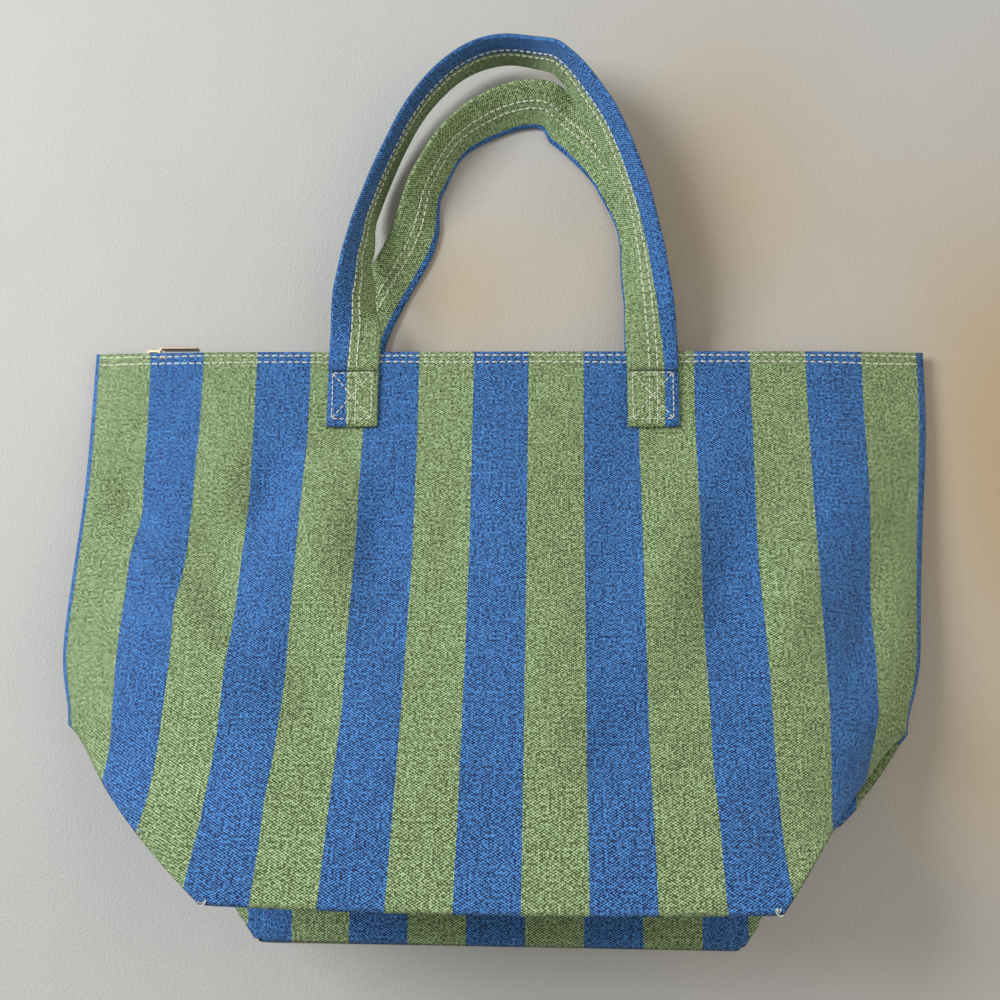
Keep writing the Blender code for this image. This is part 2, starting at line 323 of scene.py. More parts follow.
def half_width(v):
    """Half the panel's width at v down the cloth, which narrows past the side seams."""
    past = np.clip(v - FOLD_HEIGHT, 0.0, HALF_DEPTH)
    return HALF_MOUTH - past


DENTS = (
    # across, down, radius across, radius down, depth, slant
    (-0.206, 0.088, 0.016, 0.030, -0.0060, 0.60),
    (-0.176, 0.140, 0.014, 0.045, 0.0042, 0.70),
    (-0.152, 0.072, 0.016, 0.022, 0.0030, 0.30),
    (-0.128, 0.092, 0.016, 0.030, -0.0062, -0.10),
    (-0.146, 0.135, 0.013, 0.034, -0.0042, 0.30),
    (-0.064, 0.118, 0.016, 0.034, -0.0046, 0.10),
    (-0.094, 0.120, 0.016, 0.040, 0.0030, 0.10),
    (-0.090, 0.205, 0.018, 0.030, -0.0050, 0.40),
    (-0.112, 0.252, 0.016, 0.016, 0.0030, 0.60),
    (-0.025, 0.118, 0.012, 0.020, -0.0024, 0.00),
    (0.010, 0.100, 0.026, 0.040, 0.0026, 0.00),
    (0.058, 0.232, 0.020, 0.024, -0.0052, -0.20),
    (0.020, 0.180, 0.024, 0.040, 0.0022, 0.00),
    (0.080, 0.150, 0.016, 0.060, 0.0034, -0.20),
    (0.118, 0.140, 0.018, 0.050, -0.0052, -0.25),
    (0.152, 0.150, 0.015, 0.050, 0.0034, -0.35),
    (0.188, 0.160, 0.014, 0.034, -0.0050, -0.30),
    (0.190, 0.080, 0.020, 0.030, 0.0030, 0.00),
    (0.100, 0.238, 0.022, 0.020, -0.0034, -0.50),
    (-0.085, 0.054, 0.030, 0.014, -0.0024, 0.00),
    (0.082, 0.056, 0.030, 0.014, -0.0024, 0.00),
)


def dented(u, v, keep):
    """Soft dents and long waves that stiff canvas keeps, fading out where keep is 0."""
    lift = np.zeros_like(u)
    for across, down, wide, tall, depth, slant in DENTS:
        shifted = u - across - slant * (v - down)
        lift += depth * np.exp(-((shifted / wide) ** 2) - ((v - down) / tall) ** 2)
    waves = np.array([
        noise.noise(Vector((float(a) * 13.0, float(b) * 9.0, 3.1))) for a, b in zip(u, v)
    ])
    fine = np.array([
        noise.noise(Vector((float(a) * 42.0, float(b) * 30.0, 8.4))) for a, b in zip(u, v)
    ])
    return (lift + 0.0030 * waves + 0.0009 * fine) * keep


def seam_height(u, v):
    """Height of the front canvas along the side seam and the slanting fold."""
    climb = np.where(u < 0, 0.022, 0.012) * smoothstep(v / FOLD_HEIGHT)
    edge = SEAM_RISE + climb
    return edge + (CREASE_TOP - edge) * smoothstep((v - FOLD_HEIGHT) / HALF_DEPTH)


def seam_shift(u, v):
    """How far outwards the side seam lies from its place in the flat cloth."""
    left = u < 0
    waist = smoothstep((v - 0.03) / 0.15) * (1 - smoothstep((v - FOLD_HEIGHT) / HALF_DEPTH))
    corner = np.exp(-(((v - FOLD_HEIGHT) / 0.024) ** 2))
    flared = 0.0030 * (1 - smoothstep(v / 0.10))
    return flared - np.where(left, 0.0, 0.0110) * waist - np.where(left, 0.0072, 0.0092) * corner


def front_face(u, v):
    """The outer face of the front panel, for places u across and v down the cloth."""
    outline = half_width(v)
    share = np.clip(np.abs(u) / outline, 0.0, 1.0)
    middle = MOUTH_RISE + (CREASE_TOP - MOUTH_RISE) * (v / PANEL_HEIGHT) ** 1.9
    lifted = smoothstep((v - FOLD_HEIGHT) / HALF_DEPTH)
    edge = seam_height(u, v)
    squareness = 8.0 - np.where(u < 0, 3.6, 1.2) * smoothstep(v / 0.070)
    fall = share ** squareness
    z = middle + (edge - middle) * fall
    reach = v * (LEVEL_REACH + (SEAM_REACH - LEVEL_REACH) * fall * (1 - lifted))
    along_fold = np.clip((v - FOLD_HEIGHT) / HALF_DEPTH, 0.0, 1.0)
    bulge = np.where(u < 0, 0.001, -0.009) * np.sin(math.pi * along_fold) * fall
    x = u + np.sign(u) * (0.6 * bulge + seam_shift(u, v) * share ** 7)
    y = MOUTH_Y - reach - 0.7 * bulge
    y = y - 0.0022 * (1 - share ** 2) * smoothstep((v - 0.24) / 0.06)
    y = y + 0.0028 * share ** 10 * (1 - smoothstep(v / 0.04))
    keep = smoothstep(v / 0.03) * smoothstep((outline - np.abs(u)) / 0.03)
    keep = keep * smoothstep((PANEL_HEIGHT - v) / 0.03)
    z = z + 1.5 * dented(u, v, keep)
    return np.stack([x, y, z], -1)


def back_face(u, v):
    """The outer, under face of the back panel, which curls up to the side seams."""
    outline = half_width(v)
    lift = BACK_LIFT * (1 - smoothstep((v - 0.050) / 0.060))
    climb = seam_height(u, np.minimum(v, FOLD_HEIGHT)) - 2 * CLOTH - 0.0002
    curl = smoothstep((np.abs(u) - outline + 0.040) / 0.040) ** 2
    curl = curl * (1 - smoothstep((v - FOLD_HEIGHT) / 0.060))
    z = lift + (climb - lift) * curl
    below = np.clip(v - FOLD_HEIGHT, 0.0, HALF_DEPTH) / HALF_DEPTH
    flat = MOUTH_Y - np.minimum(v, FOLD_HEIGHT)
    y = flat - below * (MOUTH_Y - FOLD_HEIGHT - BACK_CREASE)
    share = np.clip(np.abs(u) / outline, 0, 1)
    y = y + 0.0028 * share ** 10 * (1 - smoothstep(v / 0.04))
    x = u + np.sign(u) * seam_shift(u, v) * share ** 7 * (1 - below)
    x = x - np.sign(u) * 0.24 * np.maximum(np.abs(u) - 0.105, 0.0) * smoothstep(below)
    return np.stack([x, y, z], -1)


def folded_corner(u, v, face, valley_height):
    """The gusset beyond the slanting fold: flat from the fold to the base's folded middle."""
    side = np.sign(u)
    on_fold = (np.abs(u) + v - HALF_BASE - PANEL_HEIGHT) / 2
    fold_u = side * (np.abs(u) - on_fold)
    fold_v = v - on_fold
    start = face(fold_u, fold_v)
    share = on_fold / (HALF_DEPTH / 2)
    along = (fold_v - FOLD_HEIGHT) / HALF_DEPTH
    inner = np.stack([
        side * (np.abs(face(side * HALF_BASE, np.full_like(u, PANEL_HEIGHT))[:, 0]) + 0.001),
        np.full_like(u, VALLEY_Y),
        np.full_like(u, valley_height),
    ], -1)
    outer = face(side * np.full_like(u, HALF_MOUTH), np.full_like(u, FOLD_HEIGHT))
    crease = face(side * np.full_like(u, HALF_BASE), np.full_like(u, PANEL_HEIGHT))
    a = (v - FOLD_HEIGHT) / HALF_DEPTH
    b = (HALF_MOUTH - np.abs(u)) / HALF_DEPTH
    weight_crease = b[:, None]
    weight_outer = (1 - a)[:, None]
    weight_inner = (a - b)[:, None]
    plain = crease * weight_crease + outer * weight_outer + inner * weight_inner
    straight = crease * along[:, None] + outer * (1 - along)[:, None]
    near = np.clip(1 - share, 0, 1)[:, None] ** 2
    return plain + (start - straight) * near


def half_line(u):
    """How far down the cloth the slanting fold lies, at u."""
    return PANEL_HEIGHT - np.clip(np.abs(u) - HALF_BASE, 0.0, HALF_DEPTH)


def base_half(u, v, crease_face, valley_height, sag):
    """Half of the base, from its crease to its folded-in middle."""
    share = np.clip((v - PANEL_HEIGHT) / HALF_DEPTH, 0.0, 1.0)[:, None]
    start = crease_face(u, np.full_like(u, PANEL_HEIGHT))
    end = np.stack([start[:, 0], np.full_like(u, VALLEY_Y), np.full_like(u, valley_height)], -1)
    bowed = np.zeros_like(start)
    bowed[:, 1] = sag * np.sin(math.pi * share[:, 0])
    if sag == 0:
        edge = smoothstep((HALF_BASE - np.abs(u)) / 0.004)
        bowed[:, 2] = 0.0026 * edge * smoothstep(share[:, 0] / 0.04)
    return start + (end - start) * share + bowed


def cut_lines():
    """The cloth's grid lines across and down, with the folds on grid lines."""
    side = np.linspace(HALF_BASE, HALF_MOUTH, 35)
    middle = np.linspace(-HALF_BASE, HALF_BASE, 83)
    across = np.concatenate([-side[::-1], middle[1:-1], side])
    down = np.concatenate([
        np.linspace(0.0, FOLD_HEIGHT, 66),
        np.linspace(FOLD_HEIGHT, PANEL_HEIGHT, 35)[1:],
        np.linspace(PANEL_HEIGHT, PANEL_HEIGHT + HALF_DEPTH, 35)[1:],
    ])
    return across, down


def folded_cloth(name, face, valley_height, sag, flip):
    """One T-shaped canvas: panel, two folded corners and half of the base."""
    across, down = cut_lines()
    u, v = np.meshgrid(across, down)
    u, v = u.ravel(), v.ravel()
    tiny = 1e-7
    kept = (v <= PANEL_HEIGHT + tiny) | (np.abs(u) <= HALF_BASE + tiny)
    points = np.zeros((len(u), 3))
    panel = v <= half_line(u) + tiny
    corner = kept & ~panel & (v <= PANEL_HEIGHT + tiny)
    base = kept & ~panel & ~corner
    points[panel] = face(u[panel], v[panel])
    points[corner] = folded_corner(u[corner], v[corner], face, valley_height)
    points[base] = base_half(u[base], v[base], face, valley_height, sag)
    number = np.cumsum(kept) - 1
    faces = []
    for quad in grid_faces(len(across), len(down)):
        if not all(kept[i] for i in quad):
            continue
        a, b, c, d = (int(number[i]) for i in quad)
        beyond = v[quad[0]] >= FOLD_HEIGHT - tiny and abs(u[quad[0]]) > HALF_BASE - tiny
        if beyond and v[quad[1]] <= PANEL_HEIGHT + tiny:
            if u[quad[0]] >= 0:
                faces += [(a, b, d), (b, c, d)]
            else:
                faces += [(a, b, c), (a, c, d)]
        else:
            faces.append((a, b, c, d))
    if flip:
        faces = [tuple(reversed(f)) for f in faces]
    cloth_places = np.stack([u, v], -1)[kept]
    made = mesh_piece(
        name, points[kept], faces, [CANVAS], uvs=cloth_places
    )
    loose = made.vertex_groups.new(name="loose")
    edge = (np.abs(np.abs(u) - HALF_MOUTH) < tiny) | (v < tiny)
    edge = (edge | (v > PANEL_HEIGHT + HALF_DEPTH - tiny))[kept]
    loose.add([int(i) for i in np.where(~edge)[0]], 1.0, "REPLACE")
    soften = made.modifiers.new("Softened folds", "SMOOTH")
    soften.factor = 0.5
    soften.iterations = 2
    soften.vertex_group = "loose"
    apply_modifiers(made)
    return made


def bag_cloth():
    """The two canvases, sewn together up the sides and along the folded base."""
    front = folded_cloth("front_canvas", front_face, FRONT_VALLEY, FRONT_SAG, False)
    thicken(front, CLOTH)
    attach(front, "bag")
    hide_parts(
        "front_panel", "base_front_half", "gusset_front_left", "gusset_front_right"
    )
    back = folded_cloth("back_canvas", back_face, BACK_VALLEY, 0.0, True)
    thicken(back, CLOTH)
    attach(back, "bag")
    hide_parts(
        "back_panel", "base_back_half", "gusset_back_left", "gusset_back_right"
    )


# Handles

HANDLE_SHIFT = (END_LEFT_LOW.x + END_RIGHT_HIGH.x) / 2
HANDLE_HALF = (END_RIGHT_HIGH.x - END_LEFT_LOW.x) / 2
STRAP_WIDTH = END_LEFT_HIGH.x - END_LEFT_LOW.x
STRAP_THICKNESS = 0.0026
STRAP_ROWS = (0.42, 0.57)


def between(stops, place):
    """A value that eases from each stop to the next. A stop is a place and a value."""
    for (near, low), (far, high) in zip(stops, stops[1:]):
        if place <= far:
            return low + (high - low) * float(smoothstep((place - near) / (far - near)))
    return stops[-1][1]


class Loop:
    """The shape of a strap's free loop, from its left end to its right end.

    It lies flat at its ends and stands up on its inner edge round the top.
    """

    def __init__(self, reach, start_y, lean, lean_by, widths, rolls, levels):
        self.reach = reach
        self.start_y = start_y          # where its ends come free
        self.lean = lean                # how far its top leans to +X
        self.lean_by = lean_by          # where the left and right legs have leant over
        self.widths = widths            # how much wider than the sewn ends each leg runs
        self.rolls = rolls              # each leg's roll in degrees, by its share of the reach
        self.levels = levels            # the same for the height of its inner edge

    def edge(self, angle):
        """Its outer edge in plan, from the left end (pi) to the right end (0)."""
        leg = 0 if angle > math.pi / 2 else 1
        past = self.reach * math.sin(angle)
        centre = HANDLE_SHIFT + self.lean * float(smoothstep(past / self.lean_by[leg]))
        half = HANDLE_HALF
        half += self.widths[leg] * float(smoothstep(past / 0.100))
        return centre + half * math.cos(angle), past

    def point(self, angle, across):
        """A point of its under face, and the way up out of the strap."""
        step = 0.002
        leg = 0 if angle > math.pi / 2 else 1
        x0, y0 = self.edge(min(math.pi, angle + step))
        x1, y1 = self.edge(max(0.0, angle - step))
        x, past = self.edge(angle)
        along = Vector((x1 - x0, y1 - y0, 0.0)).normalized()
        inward = Vector((along.y, -along.x, 0.0))
        roll = math.radians(between(self.rolls[leg], past / self.reach))
        level = between(self.levels[leg], past / self.reach)
        way = inward * math.cos(roll) - Vector((0, 0, math.sin(roll)))
        out = Vector((0, 0, math.cos(roll))) + inward * math.sin(roll)
        y = self.start_y + past * (1 - (self.start_y - MOUTH_Y) / self.reach)
        place = Vector((x, y, level + STRAP_WIDTH * math.sin(roll)))
        return place + way * (STRAP_WIDTH * across), out


FRONT_LOOP = Loop(
    0.1835, END_LEFT_HIGH.y + 0.0006, 0.001, (0.100, 0.100), (-0.0010, -0.0034),
    (
        ((0, 0), (0.08, 2), (0.237, 45), (0.371, 66), (0.50, 79), (1.0, 85)),
        ((0, 0), (0.08, 2), (0.237, 27), (0.371, 44), (0.51, 57), (0.80, 66), (1.0, 85)),
    ),
    (
        ((0, 0.0187), (0.08, 0.0187), (0.60, 0.0020), (1.0, 0.0080)),
        (
            (0, 0.0187), (0.08, 0.0187), (0.50, 0.0150),
            (0.75, 0.0170), (0.94, 0.0170), (1.0, 0.0080),
        ),
    ),
)
BACK_LOOP = Loop(
    0.1642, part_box("back_handle_end_left")[1].y + 0.0006, 0.016, (0.088, 0.100),
    (-0.0055, -0.0174),
    (
        ((0, 0), (0.40, 10), (0.66, 56), (0.80, 62), (1.0, 44)),
        ((0, 0), (0.25, 26), (0.50, 46), (0.66, 40), (0.94, 16), (1.0, 44)),
    ),
    (((0, 0.0), (1.0, 0.0)), ((0, 0.0), (1.0, 0.0))),
)
SECTION = 14                        # points across each face of a strap
CROWN = 0.10                        # a strap's swell at its middle, as a share of its thickness


def strap_section():
    """Across and height shares round a flat strap with rolled edges and a slight crown."""
    ring = []
    edge = STRAP_THICKNESS / STRAP_WIDTH / 2
    for place in np.linspace(edge, 1 - edge, SECTION):
        ring.append((place, 1.0 + CROWN * math.sin(math.pi * place)))
    ring += [(1 - edge * 0.3, 0.80), (1.0, 0.5), (1 - edge * 0.3, 0.20)]
    for place in np.linspace(1 - edge, edge, SECTION):
        ring.append((place, 0.0))
    ring += [(edge * 0.3, 0.20), (0.0, 0.5), (edge * 0.3, 0.80)]
    return ring


def strap_piece(name, body, node, look, steps, points, places, turns):
    """A strap from its section's points at each step, closed at both ends."""
    count = len(points) // (steps + 1)
    faces = []
    for i in range(steps):
        for j in range(count):
            k = (j + 1) % count
            faces.append((i * count + j, i * count + k, (i + 1) * count + k, (i + 1) * count + j))
    faces.append(tuple(range(count - 1, -1, -1)))
    faces.append(tuple(steps * count + j for j in range(count)))
    made = mesh_piece(name, points, faces, [look], uvs=places, loops=turns)
    fix_normals(made)
    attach(made, body)
    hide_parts(node)


def strap_loop(name, body, node, loop, look):
    """One strap's free loop, swept along its arch."""
    ring = strap_section()
    steps = 150
    points, places, turns = [], [], []
    travelled = 0.0
    before = None
    for i in range(steps + 1):
        angle = math.pi * (1 - i / steps)
        middle, normal = loop.point(angle, 0.5)
        if before is not None:
            travelled += (middle - before).length
        before = middle
        for across, up in ring:
            point, normal = loop.point(angle, across)
            wave = 0.0005 * noise.noise(Vector((travelled * 40, across * 2, len(name))))
            points.append(point + normal * (STRAP_THICKNESS * up + wave))
            places.append((across * STRAP_WIDTH + (0.0 if up > 0.4 else 0.031), travelled))
            turns.append((i / steps, across))
    strap_piece(name, body, node, look, steps, points, places, turns)


def fix_normals(piece):
    """Turns every face of a closed piece outwards."""
    work = bmesh.new()
    work.from_mesh(piece.data)
    bmesh.ops.recalc_face_normals(work, faces=work.faces)
    work.to_mesh(piece.data)
    work.free()


def sewn_end(name, node, place, look, turn, length):
    """A strap's sewn end: place(across, down) gives its foot on the panel, and the way out."""
    ring = strap_section()
    steps = 18
    points, places, turns = [], [], []
    for i in range(steps + 1):
        down = length * i / steps
        pinch = 1.0 - 0.35 * float(smoothstep((i / steps - 0.86) / 0.14))
        for across, up in ring:
            foot, out = place(across, down)
            fray = 0.0006 * noise.noise(Vector((across * 30, 2.0, turn))) if i == steps else 0.0
            point = Vector(foot) + Vector(out) * (STRAP_THICKNESS * up * pinch)
            point.y -= fray
            points.append(point)
            places.append((across * STRAP_WIDTH + 0.002, down))
            turns.append((turn, across if turn < 0.5 else 1 - across))
    strap_piece(name, "bag", node, look, steps, points, places, turns)


# Stitches

class Stitches:
    """Many stitches in one mesh. Each is a short thread that dips in at its ends."""

    def __init__(self, name, body, radius=0.00040):
        self.name = name
        self.body = body
        self.radius = radius
        self.points = []
        self.faces = []
        self.places = []

    def one(self, start, end, out):
        """One stitch between two points, standing out of the cloth along out."""
        along = end - start
        way = along.normalized()
        side = way.cross(out).normalized()
        base = len(self.points)
        sides = 6
        shape = ((0.0, -0.9, 0.55), (0.18, 0.35, 1.0), (0.5, 0.62, 1.0), (0.82, 0.35, 1.0),
                 (1.0, -0.9, 0.55))
        for share, lift, girth in shape:
            middle = start + along * share + out * (self.radius * lift)
            for k in range(sides):
                turn = 2 * math.pi * k / sides
                rim = side * math.cos(turn) + out * math.sin(turn)
                self.points.append(middle + rim * (self.radius * girth))
                self.places.append((share * along.length, turn * self.radius))
        for ring in range(len(shape) - 1):
            for k in range(sides):
                a = base + ring * sides + k
                b = base + ring * sides + (k + 1) % sides
                self.faces.append((a, b, b + sides, a + sides))
        self.faces.append(tuple(base + k for k in range(sides - 1, -1, -1)))
        last = base + (len(shape) - 1) * sides
        self.faces.append(tuple(last + k for k in range(sides)))

    def row(self, place, first, last, pitch=STITCH, gap=0.24):
        """A row from first to last along place(distance), which gives a point and out."""
        count = max(1, round((last - first) / pitch))
        size = (last - first) / count
        for i in range(count):
            wobble = 0.00018 * noise.noise(Vector((i * 1.7, first * 90, len(self.points) * 0.01)))
            start, out = place(first + size * (i + gap / 2))
            end, _ = place(first + size * (i + 1 - gap / 2))
            side = (end - start).normalized().cross(out)
            self.one(start + side * wobble, end - side * wobble, out)

    def finish(self):
        made = mesh_piece(self.name, self.points, self.faces, [THREAD], uvs=self.places)
        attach(made, self.body)


def face_place(face, u, v, rise, under=False):
    """A point on a panel's face, with its normal, for stitches."""
    step = 0.002
    low, high = max(0.0, v - step), v + step
    around = face(np.array([u, u - step, u + step, u, u]), np.array([v, v, v, low, high]))
    point, left, right, up, down = (Vector(p) for p in around)
    out = (right - left).cross(up - down).normalized()
    if under:
        out = -out
    return point + out * rise, out


def hem_stitches():
    """Two rows along each edge of the mouth."""
    for name, face, under in (("front", front_face, False), ("back", back_face, True)):
        rows = Stitches(f"hem_stitches_{name}", "bag")
        for down in HEM_ROWS:
            def place(along, face=face, down=down, under=under):
                droop = 0.0005 * noise.noise(Vector((along * 22, down * 800, 1.0)))
                return face_place(face, along, down + droop, 0.0001, under)
            rows.row(place, -HALF_MOUTH + 0.003, HALF_MOUTH - 0.003)
        rows.finish()


def thread_tufts():
    """Loose ends of thread at the two corners of the front crease."""
    for side, word in ((-1, "left"), (1, "right")):
        corner = Vector(front_face(
            np.array([side * (HALF_BASE - 0.003)]), np.array([PANEL_HEIGHT - 0.003])
        )[0])
        data = bpy.data.curves.new(f"thread_tuft_{word}", "CURVE")
        data.dimensions = "3D"
        data.bevel_depth = 0.00020
        data.bevel_resolution = 2
        for k in range(3):
            strand = data.splines.new("POLY")
            strand.points.add(11)
            turn = 2.6 * k + side
            for i, point in enumerate(strand.points):
                share = i / 11
                swing = turn + 2.0 * share
                reach = 0.0016 * math.sin(math.pi * share * 0.8)
                point.co = (
                    corner.x + side * (0.0022 * share + reach * math.cos(swing)),
                    corner.y - 0.0012 * share + reach * math.sin(swing),
                    corner.z + 0.0006 + 0.0016 * share, 1.0,
                )
        data.materials.append(THREAD)
        tuft = bpy.data.objects.new(f"thread_tuft_{word}", data)
        bpy.context.scene.collection.objects.link(tuft)
        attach(tuft, "bag")


def strap_top(across):
    """How far a stitch stands off a strap's under face."""
    return STRAP_THICKNESS * (1.0 + CROWN * math.sin(math.pi * across)) + 0.0001


def strap_stitches(name, body, loop):
    """Two rows down the middle of a strap's loop."""
    rows = Stitches(name, body)
    for share in STRAP_ROWS:
        table = [0.0]
        steps = 600
        before, _ = loop.point(math.pi, share)
        for i in range(1, steps + 1):
            now, _ = loop.point(math.pi * (1 - i / steps), share)
            table.append(table[-1] + (now - before).length)
            before = now

        def place(along, share=share, table=table):
            at = float(np.interp(along, table, np.arange(steps + 1) / steps))
            point, out = loop.point(math.pi * (1 - at), share)
            return point + out * strap_top(share), out
        rows.row(place, 0.001, table[-1] - 0.001)
    rows.finish()


def box_stitches(name, place, length, rows_at):
    """The square and cross that hold a strap's end, and the strap's own two rows."""
    sewing = Stitches(name, "bag", radius=0.00030)
    low, high = 0.10, 0.88
    top, foot = 0.0008, length - 0.0042

    def line(a, b):
        (a_across, a_down), (b_across, b_down) = a, b
        size = math.hypot((b_across - a_across) * STRAP_WIDTH, b_down - a_down)

        def at(along):
            share = along / size
            across = a_across + (b_across - a_across) * share
            down = a_down + (b_down - a_down) * share
            point, out = place(across, down)
            return Vector(point) + Vector(out) * strap_top(across), Vector(out)
        sewing.row(at, 0.0, size, pitch=0.0034)
    line((low, top), (high, top))
    line((low, foot), (high, foot))
    line((low, top), (low, foot))
    line((high, top), (high, foot))
    line((low, top), (high, foot))
    line((high, top), (low, foot))
    for share in rows_at:
        line((share, 0.0), (share, length - 0.0012))
    sewing.finish()


def handles():
    """Both straps, their sewn ends and their stitching."""
    strap_loop("front_strap", "front_handle", "front_handle", FRONT_LOOP, FRONT_STRAP)
    strap_loop("back_strap", "back_handle", "back_handle", BACK_LOOP, BACK_STRAP)
    strap_stitches("front_strap_stitches", "front_handle", FRONT_LOOP)
    strap_stitches("back_strap_stitches", "back_handle", BACK_LOOP)
    for word, box_low, box_high, turn in (
        ("left", END_LEFT_LOW, END_LEFT_HIGH, 0.0), ("right", END_RIGHT_LOW, END_RIGHT_HIGH, 1.0)
    ):
        length = box_high.y - box_low.y
        first_down = (MOUTH_Y - box_high.y) / LEVEL_REACH

        def on_front(across, down, box_low=box_low, first_down=first_down):
            x = box_low.x + across * STRAP_WIDTH
            return face_place(front_face, x, first_down + down / LEVEL_REACH, 0.0002)
        sewn_end(
            f"front_strap_end_{word}", f"front_handle_end_{word}", on_front, FRONT_STRAP,
            turn, length,
        )
        rows_at = STRAP_ROWS if turn < 0.5 else tuple(1 - s for s in STRAP_ROWS)
        box_stitches(f"front_box_stitches_{word}", on_front, length, rows_at)
        low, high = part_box(f"back_handle_end_{word}")

        def under_back(across, down, low=low, high=high):
            return (low.x + across * STRAP_WIDTH, high.y - down, high.z), (0, 0, -1)
        sewn_end(
            f"back_strap_end_{word}", f"back_handle_end_{word}", under_back, BACK_STRAP,
            turn, high.y - low.y,
        )


# Zip

def zip_pieces():
    """Tapes, stops, slider and pull in their materials, and two rows of single teeth."""
    looks = {"zip_tape_front": TAPE, "zip_tape_back": TAPE}
    for node_name in ("zip_bottom_stop", "zip_top_stop", "zip_slider", "zip_pull"):
        looks[node_name] = BRASS
    for node_name, look in looks.items():
        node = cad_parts[node_name]
        node.data.materials.clear()
        node.data.materials.append(look)
    teeth_row("zip_teeth_front")
    teeth_row("zip_teeth_back")


BINDING_THICKNESS = 0.0009


def seam_bindings():
    """The bound seam allowances inside: one up each side, and one along the base's fold."""
    for side, word in ((-1, "left"), (1, "right")):
        count, points, places = 80, [], []
        for i in range(count):
            v = 0.006 + (FOLD_HEIGHT - 0.016) * i / (count - 1)
            for share in (0.0, 0.5, 1.0):
                u = side * (HALF_MOUTH - 0.0032 - 0.0062 * share)
                high = front_face(np.array([u]), np.array([v]))[0]
                low = back_face(np.array([u]), np.array([v]))[0]
                ripple = 0.0003 * noise.noise(Vector((v * 120, share, side * 3.0)))
                middle = (high[2] + low[2]) / 2 + ripple
                points.append((low[0], high[1], middle))
                places.append((share * 0.0062, v))
        made = mesh_piece(
            f"side_seam_binding_{word}", points, grid_faces(3, count), [BINDING], uvs=places
        )
        thicken(made, BINDING_THICKNESS, side=0.0)
        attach(made, "bag")
        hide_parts(f"side_seam_{word}")
    low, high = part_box("base_seam")
    count, points, places = 120, [], []
    for i in range(count):
        x = low.x + (high.x - low.x) * i / (count - 1)
        for share in (0.0, 0.35, 0.7, 1.0):
            lift = 0.0008 + 0.0010 * math.sin(math.pi * share)
            lift += 0.0004 * noise.noise(Vector((x * 60, share * 2, 7.0)))
            points.append((x, low.y + (high.y - low.y) * share, low.z + lift))
            places.append((x, share * 0.008))
    made = mesh_piece("base_seam_binding", points, grid_faces(4, count), [BINDING], uvs=places)
    thicken(made, BINDING_THICKNESS, side=0.0)
    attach(made, "bag")
    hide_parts("base_seam")


BOX_FACES = (
    (0, 2, 3, 1), (4, 5, 7, 6), (0, 1, 5, 4), (2, 6, 7, 3), (0, 4, 6, 2), (1, 3, 7, 5)
)


def teeth_row(node_name):
    """Single cast teeth along the row, each with a head and two legs on the tape."""
    low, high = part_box(node_name)
    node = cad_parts[node_name]
    tops = {}
    for vertex in node.data.vertices:
        tops.setdefault(round(vertex.co.x, 4), []).append(vertex.co.z)
    xs = sorted(tops)
    floors = [min(tops[x]) for x in xs]
    thickness = 0.0017
    pitch = 0.0024
    count = int((high.x - low.x) / pitch)
    points, faces = [], []
    for i in range(count):
        x = low.x + pitch * (i + 0.5)
        z = float(np.interp(x, xs, floors))
        tooth = (
            (x - 0.00065, x + 0.00065, low.y, low.y + 0.0014, z, z + thickness),
            (x - 0.00045, x + 0.00045, low.y + 0.0014, high.y, z + 0.0002, z + thickness - 0.0002),
        )
        for x0, x1, y0, y1, z0, z1 in tooth:
            base = len(points)
            points += [
                Vector((x, y, z)) for z in (z0, z1) for y in (y0, y1) for x in (x0, x1)
            ]
            faces += [tuple(base + k for k in quad) for quad in BOX_FACES]
    made = mesh_piece(f"{node_name}_cast", points, faces, [BRASS], smooth=False)
    bevel = made.modifiers.new("Worn edges", "BEVEL")
    bevel.width = 0.00018
    bevel.segments = 1
    apply_modifiers(made)
    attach(made, "bag")
    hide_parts(node_name)


# Stage, camera and light

# Painted warm light and shadow on the table cloth: soft brown patches where the room's warm light
# glows and where the bag and its handles cast shadow.
PAINTED_WARM_LIGHT_AND_SHADOW = (
    # across, along, radius across, radius along, strength
    (0.285, 0.015, 0.075, 0.150, 0.95),
    (0.130, 0.170, 0.070, 0.110, 0.55),
    (-0.030, 0.105, 0.040, 0.050, 0.45),
    (0.255, -0.165, 0.050, 0.050, 0.40),
    (0.020, 0.110, 0.090, 0.070, 0.25),
)


def stage():
    """A pale cloth on the table, with soft daylight from the left, and patches of warm light and
    shadow painted on it.
    """
    look = Look("pale_cloth", 0.95, sheen=0.2)
    place = look.node("ShaderNodeTexCoord", {}, [], 3)
    across, along = look.part(place, 0), look.part(place, 1)
    tone = look.noise(place, 5.0, 4.0)
    nap = look.noise(place, 700.0, 2.0)
    # warm adds up the painted patches of warm light and shadow, plus a little random tone, and mixes
    # the pale cloth towards the painted brown.
    warm = 0.0
    for x, y, wide, tall, strength in PAINTED_WARM_LIGHT_AND_SHADOW:
        gone = (across - x) / wide
        past = (along - y) / tall
        warm = warm + (0 - (gone * gone + past * past)).math("EXPONENT") * strength
    warm = (warm + (tone - 0.5) * 0.35).clamped()
    look.set("Base Color", look.mix(warm, (0.425, 0.425, 0.412), (0.400, 0.300, 0.175)))
    look.bump(nap + look.noise(place, 9.0, 2.0) * 8.0, 0.0008, 0.5)
    size, count = 6.0, 3
    points = [
        (size * (i / (count - 1) - 0.5), size * (j / (count - 1) - 0.5), -0.0004)
        for j in range(count) for i in range(count)
    ]
    faces = [tuple(reversed(f)) for f in grid_faces(count, count)]
    floor = mesh_piece("table_cloth", points, faces, [look.material])


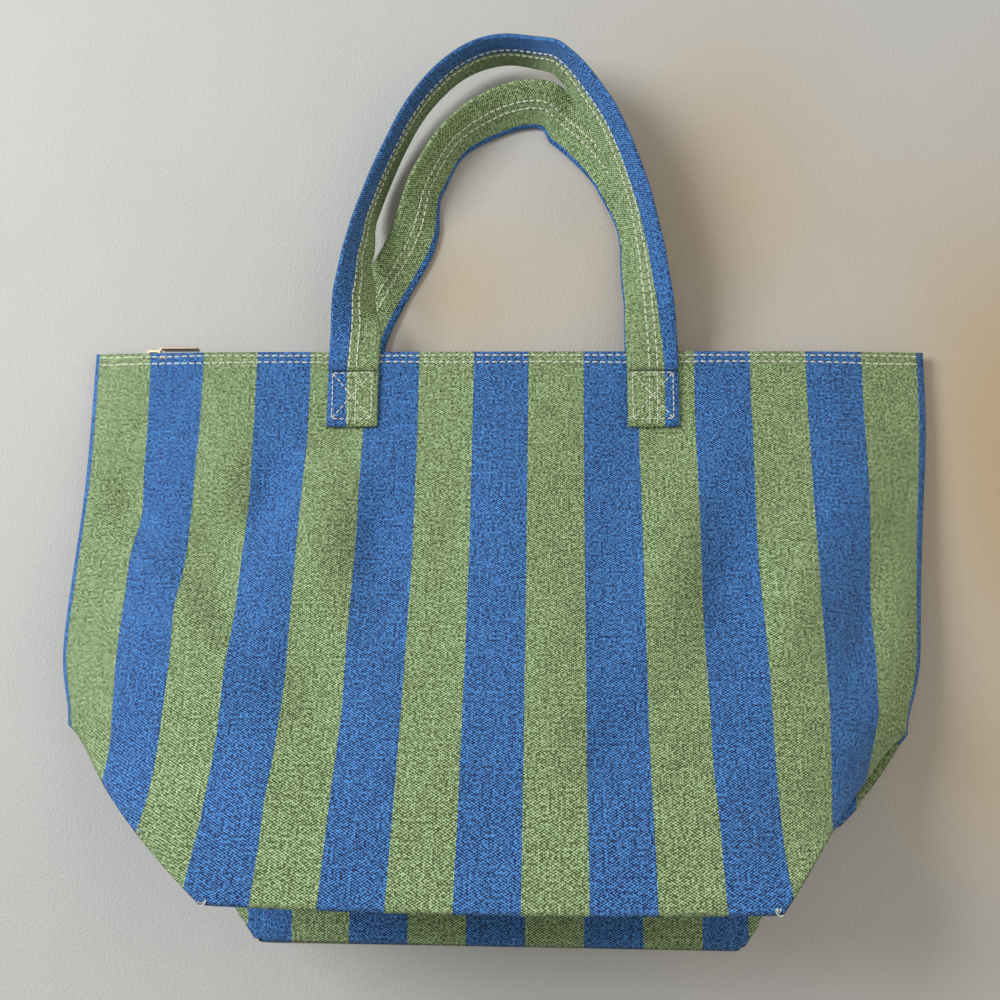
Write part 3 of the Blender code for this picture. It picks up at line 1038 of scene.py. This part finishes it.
def camera():
    """Straight above, a little towards the base and to the right."""
    data = bpy.data.cameras.new("camera")
    data.lens = 43.2
    data.sensor_width = 36.0
    made = bpy.data.objects.new("camera", data)
    made.location = (0.0268, MOUTH_Y - 0.2146, 0.6455)
    made.rotation_euler = Euler([math.radians(a) for a in (11.84, 2.35, 0.69)])
    bpy.context.scene.collection.objects.link(made)
    bpy.context.scene.camera = made


def lamp(name, place, aim, size, power, colour):
    """A square soft light, with its size in metres and its power in watts."""
    data = bpy.data.lights.new(name, "AREA")
    data.size = size
    data.energy = power
    data.color = colour
    made = bpy.data.objects.new(name, data)
    made.location = place
    way = Vector(aim) - Vector(place)
    made.rotation_euler = way.to_track_quat("-Z", "Y").to_euler()
    bpy.context.scene.collection.objects.link(made)


def light():
    """Cool daylight from the left, warm room light from the right and a pale world."""
    lamp("window", (-1.10, 0.35, 1.00), (0, -0.05, 0), 0.7, 25.0, (0.93, 0.96, 1.0))
    lamp("room", (1.1, 0.1, 1.1), (0.1, 0.0, 0), 1.4, 7.0, (1.0, 0.88, 0.70))
    world = bpy.data.worlds.new("soft_room")
    world.use_nodes = True
    world.node_tree.nodes["Background"].inputs["Color"].default_value = (0.95, 0.92, 0.88, 1.0)
    world.node_tree.nodes["Background"].inputs["Strength"].default_value = 0.50
    bpy.context.scene.world = world
    bpy.context.scene.view_settings.view_transform = "Standard"


CANVAS = striped_canvas()
FRONT_STRAP = strap_canvas("front_strap_canvas", 0.38, 0.50, 0.28)
BACK_STRAP = strap_canvas("back_strap_canvas", 0.86, 0.90, 0.95, inner=True)
THREAD = thread()
TAPE = woven_tape(
    "zip_tape_weave", 9000.0, 7000.0, (0.20, 0.17, 0.12), (0.36, 0.31, 0.22), 0.00012
)
BINDING = woven_tape(
    "seam_binding_weave", 5200.0, 5200.0, (0.46, 0.45, 0.37), (0.66, 0.65, 0.56), 0.00015
)
BRASS = brass("old_brass", (0.20, 0.15, 0.10), (0.58, 0.47, 0.33))

camera()
light()
stage()
bag_cloth()
handles()
hem_stitches()
thread_tufts()
zip_pieces()
seam_bindings()
